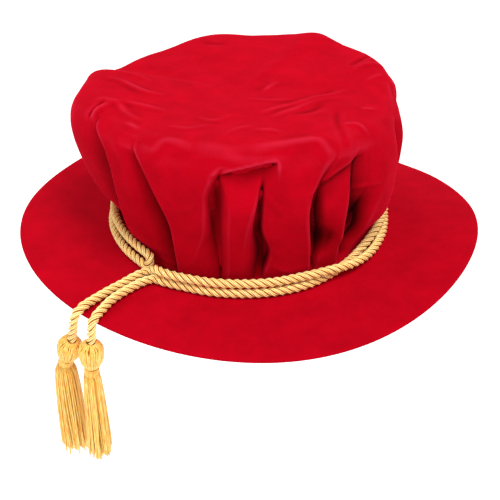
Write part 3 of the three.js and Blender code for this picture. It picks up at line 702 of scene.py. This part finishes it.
def floss_material():
    """Rayon floss: loose lustrous yarns, a deeper yellow than the cord. Where gaps between them show
    the core, it is painted brown as the shade in those gaps. Their filaments are too fine to show,
    and streaks 0.8 mm across, drawn out downwards, stand for them."""
    material, shader, links = new_material(
        "yellow gold rayon floss", {"Roughness": 0.45, "Specular IOR Level": 0.35},
    )
    place = add_node(material, "TexCoord").outputs["Object"]
    shade_painted_core = add_node(material, "Attribute", {"attribute_name": "shade_painted_core"})
    stretch = add_node(material, "Mapping", {"Scale": (1.0, 1.0, 0.12)}, {"Vector": place})
    streaks = add_node(
        material, "TexNoise", {"Scale": 1 / FLOSS_STREAK, "Detail": 2.0},
        {"Vector": stretch.outputs["Vector"]},
    )
    yarn = add_node(
        material, "ValToRGB", {}, {"Fac": streaks.outputs["Fac"]},
        [(0.3, "#ee9f30"), (0.48, "#f4c258"), (0.68, "#f4dc88")],
    )
    # Painted shade: the core is brown where it shows between the yarns
    colour = add_node(
        material, "Mix", {"data_type": "RGBA", 7: linear("#a8561a")},
        {0: shade_painted_core.outputs["Fac"], 6: yarn.outputs["Color"]},
    )
    links.new(colour.outputs[2], shader.inputs["Base Color"])
    return material


# ---------------------------------------------------------------- cord


def turn_points(side):
    """The centre of one of the two turns: side is 1 for the first and -1 for the second."""
    at = [row.at for row in PAIR]
    azimuth = np.linspace(at[0], at[-1], TURN_STEPS)
    radius = along(at, [row.radius for row in PAIR], azimuth)
    apart = along(at, [row.apart for row in PAIR], azimuth)
    lie = np.radians(along(at, [row.lie for row in PAIR], azimuth))
    rise = apart * (np.abs(np.sin(lie)) + side * np.sin(lie))
    rest = brim_top(radius, azimuth) + SEAT_GAP + CORD_RADIUS
    return polar(radius + side * apart * np.cos(lie), azimuth, rest + rise)


def bight_points(there, back):
    """The half turn that joins the ends of the two turns."""
    middle = (there[-1] + back[0]) / 2
    across = there[-1] - middle
    ahead = there[-1] - there[-2]
    ahead *= np.linalg.norm(across) / np.linalg.norm(ahead)
    angles = [math.pi * (i + 1) / BIGHT_STEPS for i in range(BIGHT_STEPS - 1)]
    return [middle + across * math.cos(a) + ahead * math.sin(a) for a in angles]


def cord_profile():
    """The outline of the strands laid together, and how far each point stands out of the grooves
    between strands, less the furrows between yarns: the painted shade and highlight follow it.
    """
    half = math.pi / CORD_STRANDS
    strand = STRAND_FULLNESS * CORD_RADIUS / (1 + 1 / math.sin(half))
    centre = CORD_RADIUS - strand
    notch = centre * math.cos(half) + math.sqrt(strand**2 - (centre * math.sin(half)) ** 2)
    reach = math.atan2(notch * math.sin(half), notch * math.cos(half) - centre)
    points, outness = [], []
    for i in range(CORD_STRANDS):
        middle = 2 * half * i
        for j in range(STRAND_SIDES):
            share = (j + 0.5) / STRAND_SIDES
            turn = middle + reach * (2 * share - 1)
            furrow = 0.5 + 0.5 * math.cos(2 * math.pi * YARNS * share)
            radius = strand - YARN_DEPTH * furrow
            x = centre * math.cos(middle) + radius * math.cos(turn)
            y = centre * math.sin(middle) + radius * math.sin(turn)
            points.append((x, y, 0))
            height = (math.hypot(x, y) - notch) / (CORD_RADIUS - notch)
            outness.append(height - YARN_SHADE * furrow)
    return points, outness


def poly_curve(name, paths, cyclic=False, tilts=None, depth=0.0):
    """A curve of straight steps along each path, with a tilt for each point where it twists."""
    data = bpy.data.curves.new(name, "CURVE")
    data.dimensions = "3D"
    data.twist_mode = "MINIMUM"
    data.bevel_depth = depth
    data.bevel_resolution = 1
    data.use_fill_caps = not cyclic
    for path in paths:
        spline = data.splines.new("POLY")
        spline.points.add(len(path) - 1)
        spline.use_cyclic_u = cyclic
        for i, point in enumerate(path):
            spline.points[i].co = (*point, 1)
            if tilts is not None:
                spline.points[i].tilt = tilts[i]
    return data


def cord_mesh(points):
    """The whole cord swept as one tube of twisted strands."""
    profile, outness = cord_profile()
    section = make_object("cord_section", poly_curve("cord_section", [profile], cyclic=True))
    lengths = np.concatenate([[0], np.cumsum(np.linalg.norm(np.diff(points, axis=0), axis=1))])
    # Counted from the middle, because a curve takes at most 60 turns each way
    turns = (lengths - lengths[-1] / 2) / CORD_PITCH
    data = poly_curve("cord", [points], tilts=2 * math.pi * turns)
    data.bevel_mode = "OBJECT"
    data.bevel_object = section
    data.use_fill_caps = False
    mesh = swept_mesh(make_object("cord_curve", data))
    bpy.data.objects.remove(section)
    return mesh, len(profile), outness


def split_cord(name, mesh, sides, outness, first, last):
    """One stretch of the swept cord, between two rings of its vertices, as a closed piece."""
    bm = bmesh.new()
    bm.from_mesh(mesh)
    bm.verts.ensure_lookup_table()
    # How far each point stands out, which sets the cord's painted shade and highlight
    groove_shade_and_highlight = bm.verts.layers.float.new("groove_shade_and_highlight")
    for i, vertex in enumerate(bm.verts):
        vertex[groove_shade_and_highlight] = outness[i % sides]
    spare = [v for i, v in enumerate(bm.verts) if not first <= i // sides < last]
    bmesh.ops.delete(bm, geom=spare, context="VERTS")
    ends = [edge for edge in bm.edges if edge.is_boundary]
    bmesh.ops.holes_fill(bm, edges=ends, sides=0)
    bmesh.ops.recalc_face_normals(bm, faces=bm.faces)
    piece = mesh_object(name, bm)
    piece.data.uv_layers[0].name = "lay"
    return piece


def make_cords(material):
    """The cord round the crown and its two tails, swept as one and then parted."""
    first_turn, second_turn = turn_points(1), turn_points(-1)[::-1]
    bight = bight_points(first_turn, second_turn)
    band = [*END_LEFT, *first_turn, *bight, *second_turn, *END_RIGHT[::-1]]
    routes = [through(points, CORD_STEP) for points in (TAIL_LEFT[::-1], band, TAIL_RIGHT)]
    names = ["cord_tail_left", "twisted_cord_round_crown", "cord_tail_right"]
    nodes = ["tail_left", "cord_round_crown", "tail_right"]
    mesh, sides, outness = cord_mesh(np.concatenate(routes))
    pieces, first = [], 0
    for name, node, route in zip(names, nodes, routes):
        last = first + len(route)
        piece = split_cord(name, mesh, sides, outness, first, last)
        finish_piece(piece, [node], material)
        pieces.append(piece)
        first = last
    return pieces[0], pieces[2]


def declare_tail(route):
    path = through(route, TAIL_STEP)


# ---------------------------------------------------------------- tassels

HEAD_STRANDS = 44
HEAD_STRAND_RADIUS = 0.00062
HEAD_STRAND_POINTS = 15
HEAD_UNEVENNESS = 0.00025
HEAD_LEAN = 0.1  # of a radian, the most that a yarn leans
PARTING = 1.1  # how far the head's yarns are pushed aside, in spacings, where they part most
PARTED_AT, PARTED_WIDTH = 0.12, 0.09  # shares of the head's length
CORE_INSET = 0.0009
CORE_STEPS = 24
CORE_ROWS = 12

NECK_WRAPS = 5
NECK_WRAP_POINTS = 12
THREAD_FULLNESS = 1.15  # more than 1 where wraps are pressed together
NECK_CORE_INSET = 1.4  # thread radii
NECK_CORE_MARGIN = 0.0003

SKIRT_STRANDS = 110
SKIRT_STRAND_RADIUS = 0.00066
SKIRT_STRAND_POINTS = 13
GOLDEN_TURN = 2.39996  # radians, which spreads the yarns evenly over the skirt's section
SKIRT_JITTER = 0.2  # radians, the most that a yarn is off its even place
SKIRT_TWIST = 0.25  # radians, the most that a yarn turns on its way down
# Each yarn's share of the length and of the foot's radius, and how far, how fast and from where it
# sways to and fro
SKIRT_LENGTHS, SKIRT_SPREADS = (0.92, 1.0), (0.9, 1.05)
SWAYS, SWAY_RATES, SWAY_STARTS = (0.0002, 0.0009), (2, 5), (0, 6)

# The head's outline, from the top down: shares of its length and of its fullest radius
HEAD_OUTLINE = [
    (0.00, HEAD_TOP_RADIUS / HEAD_RADIUS),
    (0.12, 0.80), (0.30, 0.98), (0.48, 1.00), (0.68, 0.93), (0.87, 0.76),
    (1.00, NECK_RADIUS / HEAD_RADIUS),
]


def strands_object(name, paths, radius):
    """Many thin yarns, each a closed tube, as one mesh."""
    bm = bmesh.new()
    bm.from_mesh(swept_mesh(make_object(name + "_curve", poly_curve(name, paths, depth=radius))))
    bmesh.ops.remove_doubles(bm, verts=bm.verts, dist=MERGE_DISTANCE)
    bmesh.ops.recalc_face_normals(bm, faces=bm.faces)
    return mesh_object(name, bm)


def head_radius(down):
    shares, radii = np.transpose(HEAD_OUTLINE)
    return along(shares, radii * HEAD_RADIUS, down)


def head_paths(rng):
    """Yarns laid down the head side by side, pushed aside where the cord goes in."""
    down = np.linspace(0, 1, HEAD_STRAND_POINTS)
    parting = np.exp(-(((down - PARTED_AT) / PARTED_WIDTH) ** 2))
    bulge = np.sin(math.pi * down)
    paths = []
    for i in range(HEAD_STRANDS):
        parted = rng.uniform(-PARTING, PARTING) * parting
        lean = rng.uniform(-HEAD_LEAN, HEAD_LEAN)
        a = 2 * math.pi * (i + parted) / HEAD_STRANDS + lean * down
        proud = rng.uniform(-HEAD_UNEVENNESS, HEAD_UNEVENNESS) * bulge
        radius = head_radius(down) - HEAD_STRAND_RADIUS + proud
        x, y = radius * np.cos(a), radius * np.sin(a)
        paths.append(np.stack([x, y, -down * HEAD_LENGTH], axis=1))
    return paths


def neck_path():
    """The thread wrapped round under the head, and its radius."""
    turns = np.linspace(0, 1, NECK_WRAP_POINTS * NECK_WRAPS + 1)
    a = 2 * math.pi * NECK_WRAPS * turns
    thread = NECK_LENGTH / (2 * NECK_WRAPS + 2)
    radius = NECK_RADIUS - thread
    height = -thread - turns * (NECK_LENGTH - 2 * thread)
    path = np.stack([radius * np.cos(a), radius * np.sin(a), height], axis=1)
    return path, thread * THREAD_FULLNESS


def skirt_paths(rng, tassel):
    """Yarns that hang from the binding, flare, waver a little and end unevenly."""
    down = np.linspace(0, 1, SKIRT_STRAND_POINTS)
    paths = []
    for i in range(SKIRT_STRANDS):
        a = i * GOLDEN_TURN + rng.uniform(-SKIRT_JITTER, SKIRT_JITTER)
        share = math.sqrt((i + 0.5) / SKIRT_STRANDS)
        length = tassel.length * rng.uniform(*SKIRT_LENGTHS)
        top = share * (SKIRT_TOP_RADIUS - SKIRT_STRAND_RADIUS)
        foot = share * (tassel.foot - SKIRT_STRAND_RADIUS) * rng.uniform(*SKIRT_SPREADS)
        radius = top + (foot - top) * down**tassel.flare
        sway = rng.uniform(*SWAYS)
        phase = down * rng.uniform(*SWAY_RATES) + rng.uniform(*SWAY_STARTS)
        wander = sway * np.sin(phase) * down
        turn = a + rng.uniform(-SKIRT_TWIST, SKIRT_TWIST) * down
        x = radius * np.cos(turn) + wander * np.sin(a)
        y = radius * np.sin(turn) - wander * np.cos(a)
        paths.append(np.stack([x, y, -down * length], axis=1))
    return paths


def core_object(profile, name):
    bm = spun(bmesh.new(), profile, CORE_STEPS)
    bmesh.ops.recalc_face_normals(bm, faces=bm.faces)
    return mesh_object(name, bm)


def joined(yarns, shade_painted_core, name):
    """Yarns and the core that they cover as one mesh, with an attribute that tells them apart, so
    that the core takes the painted shade.
    """
    bm = bmesh.new()
    bm.from_mesh(yarns.data)
    of_yarns = len(bm.verts)
    bm.from_mesh(shade_painted_core.data)
    layer = bm.verts.layers.float.new("shade_painted_core")
    for i, vertex in enumerate(bm.verts):
        vertex[layer] = i >= of_yarns
    for piece in (yarns, shade_painted_core):
        bpy.data.objects.remove(piece)
    return mesh_object(name, bm)


def swung(degrees, towards):
    """A turn that swings what hangs below the origin towards an azimuth."""
    axis = Vector(polar(1.0, towards - 90, 0.0))
    return Matrix.Rotation(math.radians(degrees), 4, axis)


def make_head(rng, name):
    """Yarns over a core, which closes just inside both ends of the head."""
    down = np.linspace(0.02, 0.98, CORE_ROWS)
    covered = zip(head_radius(down) - CORE_INSET, -down * HEAD_LENGTH)
    profile = [(0, -0.0004), *covered, (0, -HEAD_LENGTH + 0.0001)]
    yarns = strands_object("head_yarns", head_paths(rng), HEAD_STRAND_RADIUS)
    return joined(yarns, core_object(profile, "head_core"), name)


def make_neck(name):
    """The wrapped thread over a plain round core."""
    path, thread = neck_path()
    inner = NECK_RADIUS - NECK_CORE_INSET * thread
    top, foot = -NECK_CORE_MARGIN, -NECK_LENGTH + NECK_CORE_MARGIN
    profile = [(0, top), (inner, top), (inner, foot), (0, foot)]
    yarn = strands_object("neck_yarn", [path], thread)
    return joined(yarn, core_object(profile, "neck_core"), name)


def make_tassel(tassel, material):
    """A tassel's head, binding and skirt, made at the origin and then hung from its tail."""
    rng = random.Random(tassel.seed)
    head = make_head(rng, f"floss_head_{tassel.side}")
    neck = make_neck(f"floss_binding_{tassel.side}")
    paths = skirt_paths(rng, tassel)
    skirt = strands_object(f"floss_skirt_{tassel.side}", paths, SKIRT_STRAND_RADIUS)
    end, before = Vector(tassel.tail[-1]), Vector(tassel.tail[-2])
    top = end + (end - before).normalized() * SEAT_GAP
    leaning = Matrix.Translation(top) @ swung(tassel.tilt, tassel.towards)
    neck_end = leaning @ Vector((0, 0, -HEAD_LENGTH - NECK_LENGTH - SEAT_GAP))
    head.data.transform(leaning)
    neck.data.transform(leaning @ Matrix.Translation((0, 0, -HEAD_LENGTH - SEAT_GAP)))
    skirt.data.transform(Matrix.Translation(neck_end) @ swung(tassel.lean, 0))
    for piece, node in ((head, "head"), (neck, "neck"), (skirt, "skirt")):
        finish_piece(piece, [f"tassel_{node}_{tassel.side}"], material)
    return [head, neck, skirt]


# ---------------------------------------------------------------- velvet pieces

BRIM_STEPS = 360
BRIM_ROWS = 44
BRIM_UNDERSIDE_ROWS = 16
CROWN_STEPS = 640
CROWN_ROWS = 146
LINING_STEPS = 120
LINING_ROWS = 36
INNER_MARK = 10  # keeps the inner face's rows apart while the shell is spun
SOFTENINGS = 2

BRIM_SHADE_LEVEL = 0.47  # the brim's level of painted light where it is flat: a little painted shade
# One over the radius of a bend that gets the full painted highlight, on the brim, on the crown's
# side and on its top, and the places between which the last two meet
BRIM_FULLEST, SIDE_FULLEST, TOP_FULLEST = 800, 230, 95
FULLEST_FROM, FULLEST_TO = 0.50, 0.58
SHALLOWEST, DEEPEST = 0.002, 0.016  # depths of the gathers between which their painted shade grows from none to full
SHADE_REACH = 0.5  # degrees to each side of a gather that its shade reaches
SHELF_SHADE = 0.5  # how much painted shade lies under a roll, beside a gather as deep
FURROW_SHARE = 0.7  # how much painted shade a small furrow gets, beside the painted highlight of a ridge as bent


def brim_profile():
    """The brim's section, with a rounded edge: shares of the way out across it and up through."""
    half = BRIM_THICKNESS / 2
    width = BRIM_RADIUS - OPENING_HALF_WIDTH
    profile = [(across, 1.0) for across in np.linspace(0, 1 - half / width, BRIM_ROWS)]
    for angle in range(60, -90, -30):
        a = math.radians(angle)
        profile.append((1 + half * (math.cos(a) - 1) / width, 0.5 + 0.5 * math.sin(a)))
    underside = np.linspace(1 - half / width, 0, BRIM_UNDERSIDE_ROWS)
    profile += [(across, 0.0) for across in underside]
    return profile


def make_brim(material):
    profile = [(1 + across, up) for across, up in brim_profile()]
    bm = spun(bmesh.new(), profile, BRIM_STEPS, closed=True)
    flat = read_vertices(bm)
    across = np.hypot(flat[:, 0], flat[:, 1]) - 1
    azimuth = np.degrees(np.arctan2(flat[:, 1], flat[:, 0]))
    radius = mix(opening_radius(azimuth), BRIM_RADIUS, across)
    height = brim_height(radius, azimuth) + flat[:, 2] * BRIM_THICKNESS
    place_vertices(bm, polar(radius, azimuth, height))
    bmesh.ops.recalc_face_normals(bm, faces=bm.faces)
    mark_painted_light(bm, [BRIM_FULLEST] * len(bm.verts), BRIM_SHADE_LEVEL)
    piece = mesh_object("velvet_brim", bm)
    finish_piece(piece, ["brim"], material)
    return piece


def mark_painted_light(bm, fullest, flat=0.5, depths=None):
    """An attribute for painted light on the pile: a painted highlight on crests and painted shade in
    furrows and deep in the gathers, from 0 to 1, and flat where the cloth is flat and lies full.
    Fullest has the bend that gets the full painted highlight."""
    bm.normal_update()
    crest = bm.verts.layers.float.new("crest")
    for i, vertex in enumerate(bm.verts):
        others = [edge.other_vert(vertex).co for edge in vertex.link_edges]
        middle = sum(others, Vector()) / len(others)
        spread = sum((other - vertex.co).length for other in others) / len(others)
        bend = (vertex.co - middle).dot(vertex.normal) / spread**2  # one over its radius
        # painted highlight where the cloth bends out, painted shade where it bends in
        mark = flat + 0.5 * bend / fullest[i] * (1 if bend > 0 else FURROW_SHARE)
        if depths is not None:
            # painted shade deep in the gathers
            mark -= 0.5 * smooth(depths[i], SHALLOWEST, DEEPEST)
        vertex[crest] = min(max(mark, 0), 1)


def foot_edges(bm, inner):
    return [e for e in bm.edges if e.is_boundary and (e.verts[0].co.z > INNER_MARK / 2) == inner]


def shell_profile(rows, mark):
    """Places up a meridian, as heights over a mark, and the middle of the top."""
    return [(1, mark + place) for place in np.linspace(0, 1, rows)[:-1]] + [(0, mark + 1)]


def make_crown(material):
    """The crown as one shell: an outer and an inner face, joined round the foot."""
    bm = bmesh.new()
    spun(bm, shell_profile(CROWN_ROWS, 0), CROWN_STEPS)
    spun(bm, shell_profile(LINING_ROWS, INNER_MARK), LINING_STEPS)
    bmesh.ops.bridge_loops(bm, edges=foot_edges(bm, False) + foot_edges(bm, True))
    flat = read_vertices(bm)
    inside = flat[:, 2] > INNER_MARK / 2
    place = flat[:, 2] - INNER_MARK * inside
    azimuth = np.degrees(np.arctan2(flat[:, 1], flat[:, 0]))
    place_vertices(bm, crown_point(azimuth, place, WALL * inside))
    bmesh.ops.recalc_face_normals(bm, faces=bm.faces)
    for _ in range(SOFTENINGS):
        bmesh.ops.smooth_vert(
            bm, verts=bm.verts, factor=0.5, use_axis_x=True, use_axis_y=True, use_axis_z=True,
        )
    # Painted shade, from how deep the gathers beside each point and the hollows under the rolls go
    beside = [gather_depth(azimuth + aside, place) for aside in (-SHADE_REACH, 0, SHADE_REACH)]
    depths = np.max(beside, axis=0) + SHELF_SHADE * shelf_depth(azimuth, place)
    fullest = mix(SIDE_FULLEST, TOP_FULLEST, smooth(place, FULLEST_FROM, FULLEST_TO))
    mark_painted_light(bm, fullest, depths=depths)
    piece = mesh_object("velvet_crown", bm)
    finish_piece(piece, ["crown"], material)
    return piece


# ---------------------------------------------------------------- studio

FLOOR_HALF_WIDTH = 6
FLOOR_HEIGHT = -0.6  # well below, because a head holds the bonnet
FLOOR_GLOW = 0.5

# Soft square lights that point at the bonnet, their sides in metres and their power in watts
LIGHTS = [
    ("key", (0.5, -0.6, 1.9), 0.9, 32),
    ("front", (0.2, -1.8, 0.5), 1.2, 5.5),
    ("fill", (-1.5, -0.9, 1.1), 1.4, 10),
    ("back", (-0.8, 1.3, 1.5), 1.4, 15),
]
SURROUNDING_LIGHT = 0.56


def make_floor():
    bm = bmesh.new()
    bmesh.ops.create_grid(bm, x_segments=1, y_segments=1, size=FLOOR_HALF_WIDTH)
    bmesh.ops.translate(bm, verts=bm.verts, vec=(0, 0, FLOOR_HEIGHT))
    floor = mesh_object("floor", bm)
    paint = new_material("pale floor paint", {
        "Base Color": linear("#fbfbfb"), "Roughness": 1.0,
        "Emission Color": (1, 1, 1, 1), "Emission Strength": FLOOR_GLOW,
    })[0]
    floor.data.materials.append(paint)


def make_light(name, place, size, power):
    data = bpy.data.lights.new(name, "AREA")
    data.size = size
    data.energy = power
    light = make_object(name, data)
    turn = (-Vector(place)).to_track_quat("-Z", "Y").to_matrix().to_4x4()
    light.matrix_world = Matrix.Translation(place) @ turn


def make_studio():
    make_floor()
    for light in LIGHTS:
        make_light(*light)
    world = bpy.data.worlds.new("studio")
    bpy.context.scene.world = world
    world.use_nodes = True
    background = world.node_tree.nodes["Background"]
    background.inputs["Color"].default_value = (1, 1, 1, 1)
    background.inputs["Strength"].default_value = SURROUNDING_LIGHT
    bpy.context.scene.view_settings.view_transform = "Standard"


# ---------------------------------------------------------------- the bonnet

velvet = velvet_material()
cord = cord_material()
floss = floss_material()
tail_left, tail_right = make_cords(cord)
tassel_left, tassel_right = (make_tassel(tassel, floss) for tassel in TASSELS)
declare_tail(TAIL_LEFT)
declare_tail(TAIL_RIGHT)
brim = make_brim(velvet)
crown = make_crown(velvet)
make_studio()
